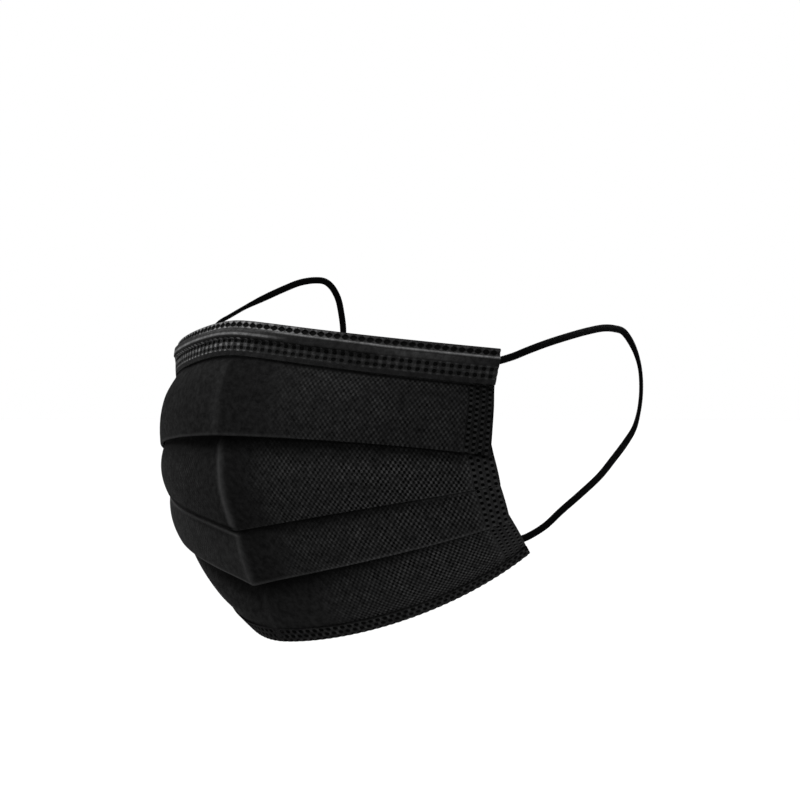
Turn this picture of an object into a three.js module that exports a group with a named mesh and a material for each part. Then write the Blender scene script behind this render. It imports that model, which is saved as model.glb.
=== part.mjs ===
// Pleated disposable face mask with two elastic ear loops, opened as it sits on a face.
//
// Millimetres. +Z is up, the front of the mask faces -Y, and the wearer's face comes in
// from +Y. The origin is the middle of the top edge, where the mask sits on the nose.
// X = 0 is the mirror plane of the cloth; only the ear loops differ from side to side.
//
// The cloth is one sheet with three knife pleats. Each crease across the mask is a row in
// CREASES, and every section of the sheet is drawn through those rows at one distance from
// the centre line, measured along the cloth.

import * as THREE from 'three';

// ---------------------------------------------------------------- driving dimensions

const HALF_WIDTH = 88; // cloth from the centre line to a side edge
const SECTIONS_PER_SIDE = 22; // sections of the sheet on each side of the centre line
const CROWDING = 1.35; // above 1, sections stand closer together at the centre line
const WALL = 1.0; // thickness of a cloth wall
const GAP = 0.3; // clearance between neighbouring pieces
const HEM_PROUD = WALL + GAP; // how far a hem's face stands in front of the sheet

// A row for each crease that crosses the mask, from the top edge to the bottom edge.
//   y, z         where it crosses the centre line
//   ridge, soft  degrees that it turns back at the nose ridge, and over what length
//   sweep, curl  degrees that it turns back evenly, and more and more, to the side edge
//   rise, round  height gained in a straight V to the side edge, and rounding of its point
//   lift         height gained by a square law
const CREASES = {
  top:    { y: 0,    z: 0,    ridge: 11, soft: 9,  sweep: 46, curl: 7,  rise: -14,   round: 8,   lift: 3.5 },
  hem:    { y: -2.5, z: -10,  ridge: 11, soft: 10, sweep: 54, curl: 0,  rise: -15.5, round: 12,  lift: 4 },
  pleat1: { y: -7.5, z: -35,  ridge: 18, soft: 7,  sweep: 28, curl: 6,  rise: -2.5,  round: 5,   lift: -3.5 },
  pleat2: { y: 1,    z: -65,  ridge: 9,  soft: 3,  sweep: 33, curl: 15, rise: 15,    round: 1.5, lift: 0 },
  pleat3: { y: 10,   z: -82,  ridge: 8,  soft: 3,  sweep: 13, curl: 46, rise: 15.5,  round: 1.5, lift: 5 },
  bottom: { y: 21.5, z: -101.2, ridge: 22, soft: 5, sweep: 36, curl: 6, rise: 11,    round: 28,  lift: 20.3 },
};

// A row for each strip of cloth between two creases.
//   steps          facets down the strip
//   nose, cheek    how far it bulges forward at the nose ridge and half way to the side
//   shelfNose ...  depth of the pocket under its lower edge at the ridge, half way, and
//                  at the side edge, where the pleats are welded flat
//   lapNose ...    how far that pocket runs up behind the edge, at the ridge and the side
const STRIPS = [
  { from: 'top',    to: 'hem',    steps: 1, nose: 0.4, cheek: 0.4 },
  { from: 'hem',    to: 'pleat1', steps: 5, nose: 1,   cheek: 2.8,
    shelfNose: 2.5, shelfCheek: 0.9, shelfSide: 0.5, lapNose: 1.5, lapSide: 5 },
  { from: 'pleat1', to: 'pleat2', steps: 5, nose: 3.5, cheek: 2.4,
    shelfNose: 1.5, shelfCheek: 1.2, shelfSide: 0.6, lapNose: 1.5, lapSide: 5 },
  { from: 'pleat2', to: 'pleat3', steps: 3, nose: 1,   cheek: 1.8,
    shelfNose: 4,   shelfCheek: 1,   shelfSide: 0.5, lapNose: 1.5, lapSide: 5 },
  { from: 'pleat3', to: 'bottom', steps: 4, nose: 1.5, cheek: 4 },
];

const EDGE_BULGE = 0.4; // how far every strip bulges at the side edge
const BOTTOM_HEM = 5; // height of the folded bottom hem

// The nose wire lies under the top hem, whose face bulges over it.
const WIRE_LENGTH = 92;
const WIRE_WIDTH = 2.6;
const WIRE_THICKNESS = 0.8;
const WIRE_STEPS = 30;
const WIRE_DROP = 2.6; // from the top edge down to the wire's middle line
const WIRE_POCKET = WIRE_THICKNESS + GAP; // how far the hem bulges over the wire
const POCKET_SLOPE = 0.9; // from the wire's side to where its pocket lies flat again
const POCKET_TAPER = 3; // length over which the pocket closes past the wire's ends

const LOOP_DIAMETER = 2;
const LOOP_SIDES = 8;
const LOOP_STEPS = 64;

// Routes of the ear loops, from the weld behind the top corner to the weld behind the
// bottom corner.
const LOOP_RIGHT_ROUTE = [
  [61.5, 43.7, -11.9], [64.6, 49.6, -12], [67.5, 54.5, -10.6], [69.5, 60.5, -8.4], [70.5, 68.5, -6.1],
  [71, 79, -3.7], [70.5, 90, -1.7], [70, 98.5, -0.6], [69.1, 105.6, -0.6], [68.3, 111.6, -1.5],
  [68, 116.3, -5], [67.5, 119.9, -9], [66.9, 122.5, -13.3], [66.6, 123.6, -18], [66.5, 123.5, -23],
  [66.5, 122.3, -28], [66.9, 119.4, -33], [67.4, 113.9, -37.8], [68.1, 106.4, -43],
  [68.6, 98.4, -48.4], [68.5, 88.2, -54.1], [67.4, 79.6, -59.3], [64.8, 74.8, -63.9], [61.2, 71.4, -67],
  [58.5, 67, -69.1], [57.1, 62.4, -72.1],
];
const LOOP_LEFT_ROUTE = [
  [-61.5, 43.7, -11.9], [-64.6, 49.6, -12], [-67.5, 53, -7], [-69.2, 56.5, -1.3],
  [-69.5, 61.5, 3.2], [-69, 66.5, 5.7], [-67.8, 73.5, 9.2], [-66, 81, 12.6], [-64, 89, 16],
  [-62.5, 95, 18.2], [-61, 101, 19.2], [-59.8, 105, 18.9], [-59, 107.8, 17], [-58.2, 110.2, 13],
  [-58, 111.8, 7.5], [-58, 112.8, 1], [-58.2, 112, -7], [-59, 109.5, -15.5], [-60.2, 105, -25],
  [-61.6, 99.3, -34], [-63, 92.5, -43], [-64.2, 85, -51.5], [-64.6, 79, -58.5],
  [-63.6, 74.8, -63.9], [-61.2, 71.4, -67], [-58.5, 67, -69.1], [-57.1, 62.4, -72.1],
];

// ---------------------------------------------------------------- the cloth surface

const radians = THREE.MathUtils.degToRad;
const { lerp, smoothstep } = THREE.MathUtils;
const UP = new THREE.Vector3(0, 0, 1);

// A crease at distance t along the cloth from the centre line, negative to the left: its
// point there and its direction towards +X.
function creaseAt(crease, t) {
  const side = Math.sign(t) || 1;
  const far = Math.abs(t);
  const slope = (s) => (crease.rise * s) / Math.hypot(s, crease.round) / HALF_WIDTH
    + (2 * crease.lift * s) / HALF_WIDTH ** 2;
  const turn = (s) => radians(crease.ridge * (1 - Math.exp(-s / crease.soft))
    + crease.sweep * (s / HALF_WIDTH) + crease.curl * (s / HALF_WIDTH) ** 2);
  const point = new THREE.Vector3(0, crease.y, crease.z);
  const stride = 0.5;
  for (let s = 0; s < far; s += stride) {
    const ds = Math.min(stride, far - s);
    const mid = s + ds / 2;
    const level = Math.sqrt(1 - slope(mid) ** 2);
    point.x += ds * level * Math.cos(turn(mid));
    point.y += ds * level * Math.sin(turn(mid));
    point.z += ds * slope(mid);
  }
  const level = Math.sqrt(1 - slope(far) ** 2);
  const along = new THREE.Vector3(level * Math.cos(turn(far)), level * Math.sin(turn(far)), slope(far));
  if (far === 0) along.set(1, 0, 0);
  if (side < 0) {
    point.x *= -1;
    along.y *= -1;
    along.z *= -1;
  }
  return { point, along };
}

// Value that is `nose` at the ridge, `side` at the side edge, and off the straight line
// between them by enough to be `cheek` half way.
function spread(nose, cheek, side, share) {
  const extra = cheek - (nose + side) / 2;
  return lerp(nose, side, share) + extra * 4 * share * (1 - share);
}

// Level direction square to a crease, towards the face.
function levelInward(along) {
  return new THREE.Vector3(-along.y, along.x, 0).normalize();
}

// The outermost surface of one strip, at distance t from the centre line. `head` is the
// strip's upper end there, and how much of the strip is covered by the pleat above it: the
// strip bulges below that. Returns a function of the share f down the strip, giving a
// point and the inward normal.
function stripSurface(strip, t, head) {
  const share = Math.abs(t) / HALF_WIDTH;
  const foot = creaseAt(CREASES[strip.to], t);
  const bulge = spread(strip.nose, strip.cheek, EDGE_BULGE, share);
  const inward = levelInward(foot.along);
  const covered = head.covered / head.point.distanceTo(foot.point);
  const pointAt = (f) => {
    const open = Math.max(0, (f - covered) / (1 - covered));
    return head.point.clone().lerp(foot.point, f).addScaledVector(inward, -bulge * 4 * open * (1 - open));
  };
  return (f) => {
    const along = head.along.clone().lerp(foot.along, f);
    const down = pointAt(f + 0.01).sub(pointAt(f - 0.01));
    return { point: pointAt(f), normal: along.cross(down).normalize() };
  };
}

const offset = (sample, depth) => sample.point.clone().addScaledVector(sample.normal, depth);

// ---------------------------------------------------------------- sections of the pieces

// Where the sections stand, from the left side edge to the right one. One on each side
// stands just past the end of the nose wire.
const PAST_WIRE = WIRE_LENGTH / 2 + GAP;
const rightPlaces = [];
for (let i = 1; i <= SECTIONS_PER_SIDE; i += 1) {
  rightPlaces.push(HALF_WIDTH * (i / SECTIONS_PER_SIDE) ** CROWDING);
}
rightPlaces[rightPlaces.findIndex((place) => place > PAST_WIRE)] = PAST_WIRE;
const sectionPlaces = [...rightPlaces.map((place) => -place).reverse(), 0, ...rightPlaces];

// Surfaces of all strips at t, and the pocket under each pleat. The strip below a pleat
// starts at the back of that pleat's pocket.
function stripsAt(t) {
  const share = Math.abs(t) / HALF_WIDTH;
  let head = { ...creaseAt(CREASES.top, t), covered: 0 };
  return STRIPS.map((strip) => {
    const surface = stripSurface(strip, t, head);
    const length = surface(0).point.distanceTo(surface(1).point);
    const result = { strip, surface, length, covered: head.covered / length, pocket: null };
    head = { ...creaseAt(CREASES[strip.to], t), covered: 0 };
    if (strip.lapSide) {
      const lap = lerp(strip.lapNose, strip.lapSide, share);
      const shelf = spread(strip.shelfNose, strip.shelfCheek, strip.shelfSide, share);
      const edgeBack = offset(surface(1), WALL);
      const roofFront = offset(surface(1 - lap / length), WALL);
      const roofBack = roofFront.clone().addScaledVector(levelInward(head.along), shelf);
      result.pocket = { lap, edgeBack, roofFront, roofBack };
      head = { point: roofBack, along: head.along, covered: lap };
    }
    return result;
  });
}

// Depth of the sheet behind the outermost surface: it stands back under the two hems.
function sheetDepth(index, f) {
  if (index === 0) return HEM_PROUD;
  if (index === 1) return HEM_PROUD * (1 - smoothstep(f, 0.02, 0.4));
  if (index === STRIPS.length - 1) return HEM_PROUD * smoothstep(f, 0.3, 0.75);
  return 0;
}

const bottomHemShare = ({ length }) => 1 - BOTTOM_HEM / length;

// The pleated sheet: down the front face, through each pocket, and up the back face.
function sheetSection(t) {
  const front = [];
  const back = [];
  stripsAt(t).forEach(({ strip, surface, length, covered, pocket }, index, all) => {
    const last = index === all.length - 1;
    const first = index === 0 ? HEM_PROUD / length : covered;
    let end = 1;
    if (pocket) end = 1 - (pocket.lap + WALL) / length;
    if (last) end = 1 - HEM_PROUD / length;
    const shares = covered ? [0] : [];
    for (let i = 0; i <= strip.steps; i += 1) shares.push(lerp(first, end, i / strip.steps));
    if (last) shares.splice(-1, 0, bottomHemShare({ length }));
    if (index === 1) shares.shift();
    shares.forEach((f) => {
      const sample = surface(f);
      const depth = sheetDepth(index, f);
      front.push(offset(sample, depth));
      const rear = offset(sample, depth + WALL);
      if (covered && f === 0) rear.addScaledVector(UP, WALL);
      back.push(rear);
    });
    if (pocket) front.push(surface(1).point, pocket.edgeBack, pocket.roofFront);
  });
  return front.concat(back.reverse());
}

// How far the top hem's face bulges over the nose wire.
function wireBulge(t, drop) {
  const ends = 1 - smoothstep(Math.abs(t), PAST_WIRE, PAST_WIRE + POCKET_TAPER);
  const band = 1 - smoothstep(Math.abs(drop - WIRE_DROP), WIRE_WIDTH / 2 + GAP, WIRE_WIDTH / 2 + POCKET_SLOPE);
  return WIRE_POCKET * ends * band;
}

// The top hem: a strip down the front face, capped over the sheet's top edge.
function topHemSection(t) {
  const { surface, length } = stripsAt(t)[0];
  const half = WIRE_WIDTH / 2;
  const drops = [WIRE_DROP - half - POCKET_SLOPE, WIRE_DROP - half - GAP, WIRE_DROP + half + GAP,
    WIRE_DROP + half + POCKET_SLOPE, length];
  const at = (drop, depth) => offset(surface(drop / length), depth);
  const face = drops.map((drop) => at(drop, -wireBulge(t, drop)));
  const rear = drops.slice(1).reverse().map((drop) => at(drop, WALL - wireBulge(t, drop)));
  const capBack = HEM_PROUD + WALL;
  const cap = [at(WALL, capBack), at(0.5, capBack), at(0, capBack - 0.5), at(0, 0.5)];
  return face.concat(rear, cap);
}

// The bottom hem: a strip up the front face, capped under the sheet's bottom edge.
function bottomHemSection(t) {
  const { surface, length } = stripsAt(t).at(-1);
  const top = bottomHemShare({ length });
  const foot = 1 - WALL / length;
  const capBack = HEM_PROUD + WALL;
  const at = (f, depth) => offset(surface(f), depth);
  return [at(top, 0), at(lerp(top, 1, 0.5), 0), at(1, 0), at(1, capBack), at(foot, capBack),
    at(foot, WALL), at(lerp(top, foot, 0.5), WALL), at(top, WALL)];
}

// The nose wire: a flat strip between the sheet and the hem.
function wireSection(t) {
  const { surface, length } = stripsAt(t)[0];
  const at = (drop, depth) => offset(surface(drop / length), depth);
  const upper = WIRE_DROP - WIRE_WIDTH / 2;
  const lower = WIRE_DROP + WIRE_WIDTH / 2;
  const back = HEM_PROUD - GAP;
  const front = back - WIRE_THICKNESS;
  return [at(upper, front), at(lower, front), at(lower, back), at(upper, back)];
}

// ---------------------------------------------------------------- solids

// Closed solid through equal rings of points. Each ring runs down the front and up the
// back, and the rings follow each other towards +X.
function loft(rings) {
  const count = rings[0].length;
  const positions = rings.flat().flatMap((point) => point.toArray());
  const indices = [];
  for (let r = 0; r + 1 < rings.length; r += 1) {
    for (let k = 0; k < count; k += 1) {
      const a = r * count + k;
      const b = r * count + ((k + 1) % count);
      indices.push(a, b, b + count, a, b + count, a + count);
    }
  }
  const start = endFaces(rings[0]);
  const finish = endFaces(rings.at(-1));
  const shift = (rings.length - 1) * count;
  start.forEach(([a, b, c]) => indices.push(a, c, b));
  finish.forEach(([a, b, c]) => indices.push(shift + a, shift + b, shift + c));
  const geometry = new THREE.BufferGeometry();
  geometry.setAttribute('position', new THREE.Float32BufferAttribute(positions, 3));
  geometry.setIndex(indices);
  geometry.computeVertexNormals();
  return geometry;
}

// Triangles over one ring, with their normals towards +X.
function endFaces(ring) {
  const outline = ring.map((point) => {
    const run = Math.sign(point.x) || 1;
    return new THREE.Vector2(point.y - run * 0.5 * point.x, point.z);
  });
  return THREE.ShapeUtils.triangulateShape(outline, []);
}

// Cord along a route, with a many-sided round section.
function cord(route) {
  const path = new THREE.CatmullRomCurve3(route.map((point) => new THREE.Vector3(...point)));
  const section = new THREE.Shape();
  for (let i = 0; i < LOOP_SIDES; i += 1) {
    const angle = (2 * Math.PI * i) / LOOP_SIDES;
    const x = (LOOP_DIAMETER / 2) * Math.cos(angle);
    const y = (LOOP_DIAMETER / 2) * Math.sin(angle);
    if (i === 0) section.moveTo(x, y);
    else section.lineTo(x, y);
  }
  section.closePath();
  return new THREE.ExtrudeGeometry(section, {
    steps: LOOP_STEPS, extrudePath: path, bevelEnabled: false, curveSegments: 1,
  });
}

// ---------------------------------------------------------------- materials and pieces

const blackCloth = new THREE.MeshStandardMaterial({ color: 0x1a1a1c, roughness: 0.85, metalness: 0 });
const blackHem = new THREE.MeshStandardMaterial({ color: 0x202022, roughness: 0.75, metalness: 0 });
const coatedWire = new THREE.MeshStandardMaterial({ color: 0xd8d8d8, roughness: 0.5, metalness: 0 });
const blackElastic = new THREE.MeshStandardMaterial({ color: 0x18181a, roughness: 0.9, metalness: 0 });

const mask = new THREE.Group();

function add(name, geometry, material) {
  const mesh = new THREE.Mesh(geometry, material);
  mesh.name = name;
  mask.add(mesh);
}

const wirePlaces = [];
for (let i = 0; i <= WIRE_STEPS; i += 1) wirePlaces.push(WIRE_LENGTH * (i / WIRE_STEPS - 0.5));

add('pleated_panel', loft(sectionPlaces.map(sheetSection)), blackCloth);
add('top_hem', loft(sectionPlaces.map(topHemSection)), blackHem);
add('bottom_hem', loft(sectionPlaces.map(bottomHemSection)), blackHem);
add('nose_wire', loft(wirePlaces.map(wireSection)), coatedWire);
add('ear_loop_right', cord(LOOP_RIGHT_ROUTE), blackElastic);
add('ear_loop_left', cord(LOOP_LEFT_ROUTE), blackElastic);

export default mask;
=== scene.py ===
"""Pleated disposable face mask, opened as it is worn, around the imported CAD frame.

The cloth is a thin shell on the rows of creases and strips that part.mjs uses, with real
knife pleats, hems folded over its edges, pressed welds, a nose wire and two ear loops of
flat elastic. Lengths are in millimetres until the meshes are made. Left is the side of -X.
"""

import math

import bpy
import numpy as np
from mathutils import Euler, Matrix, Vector


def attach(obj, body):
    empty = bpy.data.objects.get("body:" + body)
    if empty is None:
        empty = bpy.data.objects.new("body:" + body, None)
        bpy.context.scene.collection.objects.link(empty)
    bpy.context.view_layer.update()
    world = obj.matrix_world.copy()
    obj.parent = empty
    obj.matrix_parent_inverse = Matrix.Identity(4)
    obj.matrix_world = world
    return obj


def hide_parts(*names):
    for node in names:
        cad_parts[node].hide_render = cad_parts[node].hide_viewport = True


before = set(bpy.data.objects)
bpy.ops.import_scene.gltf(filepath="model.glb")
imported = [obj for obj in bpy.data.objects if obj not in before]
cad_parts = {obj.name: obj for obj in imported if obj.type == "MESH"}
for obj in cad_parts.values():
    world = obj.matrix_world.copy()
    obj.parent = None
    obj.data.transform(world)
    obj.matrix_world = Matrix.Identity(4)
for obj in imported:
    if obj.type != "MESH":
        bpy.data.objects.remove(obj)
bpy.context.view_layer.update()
MM = 0.001

# ------------------------------------------------------------------ camera

CAMERA_AZIMUTH = 45.3  # degrees round from the mask's front
CAMERA_DISTANCE = 822.6  # from the nose bridge, level
CAMERA_HEIGHT = -26.8
CAMERA_YAW = 3.63  # the mask stands left of the middle of the frame
CAMERA_PITCH = 0.2
CAMERA_LENS = 118.1  # on a 36 mm sensor


def make_camera():
    a = math.radians(CAMERA_AZIMUTH)
    data = bpy.data.cameras.new("camera")
    data.lens = CAMERA_LENS
    data.sensor_width = 36
    data.clip_start = 0.01
    camera = bpy.data.objects.new("camera", data)
    camera.location = (CAMERA_DISTANCE * MM * math.sin(a), -CAMERA_DISTANCE * MM * math.cos(a),
                       CAMERA_HEIGHT * MM)
    camera.rotation_euler = Euler(
        (math.radians(90 + CAMERA_PITCH), 0, a - math.radians(CAMERA_YAW)), "XYZ")
    bpy.context.collection.objects.link(camera)
    bpy.context.scene.camera = camera


make_camera()

# ------------------------------------------------------------------ sizes of the cloth

HALF_WIDTH = 88.0
PLY = 0.42  # thickness of the cloth
FOLD = 0.33  # radius of a pleat's fold, to the middle of the cloth
EDGE_BULGE = 0.4  # of every strip, at the side edges
SIDE_BAND = 10.0  # the columns of points are close together in it, for the side welds
HEM_REACH = PLY + 0.08  # a hem's ply and a little air in front of the cloth
HEM_HEIGHT = 11.4
HEM_RISE = 1.2  # how far the top hem's fold stands above the edge of the cloth inside it
BOTTOM_HEM = 5.0
WIRE_HALF = 46.0
WIRE_END = 5.0  # past the wire's end, where the hem lies flat again
WIRE_BULGE = 1.1  # how far the top hem stands out over the wire

# Weld and bond patterns: pitch along the mask and down it, half-widths of a dot, and
# whether every other row is set half a pitch along.
BONDS = dict(pitch=(1.5, 2.0), dot=(0.42, 0.5), staggered=True)
SIDE_WELDS = dict(pitch=(4.2, 1.9), dot=(0.62, 0.5), staggered=True)
SIDE_FIRST = 1.4  # from the side edge to the first of four columns
SIDE_COLUMNS = 4
SIDE_LIMIT = (SIDE_COLUMNS - 0.5) * SIDE_WELDS["pitch"][0] / 2
HEM_WELDS = dict(pitch=(2.6, 2.15), dot=(0.75, 0.62), staggered=False)
EDGE_WELDS = dict(pitch=(2.6, 2.15), dot=(1.1, 0.75), staggered=False)
EDGE_FIRST = 1.5  # from the top hem's fold down to the row of dots beside it
EDGE_LIMIT = 1.07  # how far up and down from its middle that row may reach
TOP_HEM_FIRST = 6.7  # from the fold down to the first of two more rows
TOP_HEM_LIMITS = (-1.05, 3.2)  # those two may reach this far up and down from the first
BOTTOM_HEM_WELDS = dict(pitch=(2.3, 3.2), dot=(0.82, 0.62), staggered=True)
BOTTOM_HEM_FIRST = 0.8  # from the fold of the bottom hem up to the first of its rows
BOTTOM_HEM_LIMIT = 4.0  # how far up from there its pattern reaches
SOFT_DOT = (0.6, 1.15)  # a dot fades between these shares of its half-width
SIDE_DENT = 0.17  # how deep the welds press in
TOP_DENT = 0.2
BOTTOM_DENT = 0.18
BOTTOM_DENT_LIMIT = 4.6  # how far up from the fold its dents reach
INNER_DENT = 0.4  # share of a dent's depth that the inner face has

# ------------------------------------------------------------------ materials

BLACK = (0.0005, 0.0005, 0.0005)
TONE = 0.07  # how far a tone of 1 goes from black to the light colour of a cloth
# How much each of these lifts or lowers the tone of the cloth.
BOND_LIFT = 0.3
# Dark pits of the bonds, and painted highlights on the peaks between them.
BOND_PITS_AND_HIGHLIGHTS = 0.85
# Painted highlight round the welds.
RIM_HIGHLIGHT = 0.9
BAND_SHADE = 0.2
WELD_SHADE = 0.97
# Depth of the painted shade.
PAINTED_SHADE_DEPTH = 0.7
RIM_GROWTH = 1.6  # the painted highlight round a weld reaches this many times as far as it
RIM_EVEN = 0.3  # how bright that highlight is all round, where it is 1 between the dots
CLOTH_BUMP = 0.2  # depth of the bump, of which these are the shares
FIBRE_BUMP = 0.5
STRAND_BUMP = 0.3
BOND_BUMP = 1.2
WELD_BUMP = 2.2


class Nodes:
    """A material's node tree, with short calls for the nodes that are used here."""

    def __init__(self, name):
        self.material = bpy.data.materials.new(name)
        self.material.use_nodes = True
        self.tree = self.material.node_tree
        self.shader = self.tree.nodes["Principled BSDF"]

    def add(self, kind, inputs=(), **settings):
        node = self.tree.nodes.new(kind)
        for key, value in settings.items():
            setattr(node, key, value)
        for key, value in dict(inputs).items():
            self.put(node.inputs[key], value)
        return node

    def put(self, socket, value):
        if hasattr(value, "is_linked"):
            self.tree.links.new(value, socket)
        else:
            socket.default_value = value

    def set(self, **values):
        for key, value in values.items():
            self.put(self.shader.inputs[key.replace("_", " ")], value)

    def uv(self):
        """The piece's UV map, and its two parts, in millimetres."""
        uv = self.add("ShaderNodeUVMap", uv_map="cloth").outputs["UV"]
        parts = self.add("ShaderNodeSeparateXYZ", {"Vector": uv}).outputs
        return uv, parts["X"], parts["Y"]

    def attribute(self, title):
        return self.add("ShaderNodeAttribute", attribute_name=title).outputs["Fac"]

    def math(self, operation, a, b=0.0, clamp=False):
        node = self.add("ShaderNodeMath", {0: a, 1: b}, operation=operation, use_clamp=clamp)
        return node.outputs[0]

    def plus(self, a, b):
        return self.math("ADD", a, b)

    def minus(self, a, b, clamp=False):
        return self.math("SUBTRACT", a, b, clamp)

    def times(self, a, b):
        return self.math("MULTIPLY", a, b)

    def steps(self, value, low, high, to_low=0.0, to_high=1.0):
        node = self.add("ShaderNodeMapRange",
                        {"Value": value, "From Min": low, "From Max": high,
                         "To Min": to_low, "To Max": to_high},
                        interpolation_type="SMOOTHSTEP")
        return node.outputs["Result"]

    def noise(self, vector, scale, detail=2.0, roughness=0.5, distortion=0.0):
        node = self.add("ShaderNodeTexNoise",
                        {"Vector": vector, "Scale": scale, "Detail": detail,
                         "Roughness": roughness, "Distortion": distortion})
        return node.outputs["Fac"]

    def mix(self, factor, dark, light):
        node = self.add("ShaderNodeMix", {0: factor}, data_type="RGBA", clamp_factor=True)
        node.inputs[6].default_value = (*dark, 1)
        node.inputs[7].default_value = (*light, 1)
        return node.outputs[2]

    def bump(self, height, distance, strength=1.0):
        inputs = {"Height": height, "Distance": distance * MM, "Strength": strength}
        return self.add("ShaderNodeBump", inputs).outputs["Normal"]

    def pattern(self, x, y, rows, grow=1.0):
        """1 inside the dots of a pattern, 0 outside."""
        found = None
        for shift in ((0.0, 0.5) if rows["staggered"] else (0.0,)):
            legs = []
            for value, pitch, half in zip((x, y), rows["pitch"], rows["dot"]):
                turn = self.plus(self.math("DIVIDE", value, pitch), 0.5 - shift)
                leg = self.minus(self.math("FRACT", turn), 0.5)
                leg = self.times(leg, pitch / (half * grow))
                legs.append(self.times(leg, leg))
            dot = self.steps(self.math("SQRT", self.plus(*legs)), *SOFT_DOT, 1.0, 0.0)
            found = dot if found is None else self.math("MAXIMUM", found, dot)
        return found


def side_rows(n, x, y):
    """The welds of a piece, row by row: where they may lie, their distances along and down,
    and their pattern. These ones are counted in from the side edge."""
    across = n.minus(n.minus(HALF_WIDTH, n.math("ABSOLUTE", x)), SIDE_FIRST)
    return [(n.math("LESS_THAN", across, SIDE_LIMIT), across, y, SIDE_WELDS)]


def top_hem_rows(n, x, y):
    low, high = TOP_HEM_LIMITS
    down = n.minus(n.math("ABSOLUTE", y), TOP_HEM_FIRST)
    inside = n.times(n.math("GREATER_THAN", down, low), n.math("LESS_THAN", down, high))
    edge = n.minus(y, EDGE_FIRST)
    beside = n.math("LESS_THAN", n.math("ABSOLUTE", edge), EDGE_LIMIT)
    return [(inside, x, down, HEM_WELDS), (beside, x, edge, EDGE_WELDS)]


def bottom_hem_rows(n, x, y):
    down = n.minus(n.math("ABSOLUTE", y), BOTTOM_HEM_FIRST)
    return [(n.math("LESS_THAN", down, BOTTOM_HEM_LIMIT), x, down, BOTTOM_HEM_WELDS)]


def weld_nodes(n, rows):
    """The weld dots of a piece, and a painted highlight round them, brightest between the dots."""
    welds = pale = 0.0
    for inside, a, b, pattern in rows:
        welds = n.math("MAXIMUM", welds, n.times(n.pattern(a, b, pattern), inside))
        wide, high = pattern["pitch"]
        lower = b if pattern["staggered"] else n.plus(b, high / 2)
        between_dots = n.pattern(n.plus(a, wide / 2), lower, pattern)
        around = n.pattern(a, b, pattern, grow=RIM_GROWTH)
        found = n.plus(between_dots, n.times(around, RIM_EVEN))
        pale = n.math("MAXIMUM", pale, n.times(found, inside))
    return welds, n.minus(pale, welds, clamp=True)


def cloth_material(name, light, gloss, find_rows, bonded=False):
    """Black nonwoven cloth. Its UV map is in millimetres along and down the cloth. The
    attributes of its mesh say how much lighter it is painted, with highlights along folds, the
    crease and the top hem's channel, paler side bands and a painted shade in that channel's
    groove; how deep the painted shade is under pleats and beside the crease; and how far its
    bonds show. On a hem the last one, weave, says how bright the painted highlights round its
    welds are."""
    n = Nodes(name)
    uv, x, y = n.uv()
    folded, weave, painted_shade_amount = (n.attribute(title) for title in ("fold", "weave", "painted_shade"))

    # Fibres lie in all directions, a few of them thick enough to see.
    fibres = n.noise(uv, 0.5, 5.0, 0.7)
    drawn_out = n.add("ShaderNodeMapping", {"Vector": uv, "Scale": (1.2, 7.0, 1.0)})
    strands = n.noise(drawn_out.outputs["Vector"], 0.8, 3.0, distortion=2.0)
    mottle = n.noise(uv, 0.16)

    rows = find_rows(n, x, y)
    welds, rim_highlights = weld_nodes(n, rows)
    tone = n.plus(n.steps(fibres, 0.3, 0.7, 0.15, 0.7), n.times(mottle, 0.3))
    height = n.plus(n.times(fibres, FIBRE_BUMP), n.times(strands, STRAND_BUMP))
    if bonded:
        band = rows[0][0]
        shows = n.times(weave, n.minus(1.0, band))
        shows = n.times(shows, n.steps(mottle, 0.3, 0.7, 0.5, 1.1))
        pits = n.times(n.pattern(x, y, BONDS), shows)
        # The peaks between the pits are painted highlights, brighter here and there at random.
        peak_highlights = n.times(n.pattern(n.plus(x, BONDS["pitch"][0] / 2), y, BONDS), shows)
        lit = n.steps(n.noise(uv, 0.9, 1.0), 0.35, 0.65, 0.4, 2.6)
        tone = n.plus(tone, n.times(shows, BOND_LIFT))
        tone = n.minus(tone, n.times(pits, BOND_PITS_AND_HIGHLIGHTS))
        tone = n.plus(tone, n.times(n.times(peak_highlights, lit), BOND_PITS_AND_HIGHLIGHTS))
        # Painted highlight round the side welds.
        tone = n.plus(tone, n.times(rim_highlights, RIM_HIGHLIGHT))
        tone = n.minus(tone, n.times(band, BAND_SHADE))
        height = n.minus(height, n.times(pits, BOND_BUMP))
    else:
        # Painted highlights round the welds, uneven at random; the painted highlights along folds are broken
        # up by the fibres.
        uneven = n.steps(n.noise(uv, 0.8, 1.0), 0.35, 0.65, 0.3, 1.6)
        folded = n.times(folded, n.steps(fibres, 0.3, 0.7, 0.55, 1.45))
        tone = n.plus(tone, n.times(n.times(rim_highlights, uneven), weave))
    # Painted highlights along folds, the crease and the top hem's channel; painted shade in that channel's
    # groove.
    tone = n.plus(tone, folded)
    tone = n.times(tone, n.minus(1.0, n.times(welds, WELD_SHADE)))
    # Painted shade under the pleats, under the top hem, towards the sides of the first strip and just right
    # of the crease.
    tone = n.times(tone, n.minus(1.0, n.times(painted_shade_amount, PAINTED_SHADE_DEPTH)))
    height = n.minus(height, n.times(welds, WELD_BUMP))
    n.set(Base_Color=n.mix(n.times(tone, TONE), BLACK, (light, light, 1.008 * light)),
          Roughness=n.steps(tone, 0.0, 1.6, 0.75, 0.6), Normal=n.bump(height, CLOTH_BUMP))
    n.set(Specular_IOR_Level=gloss)
    return n.material


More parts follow.
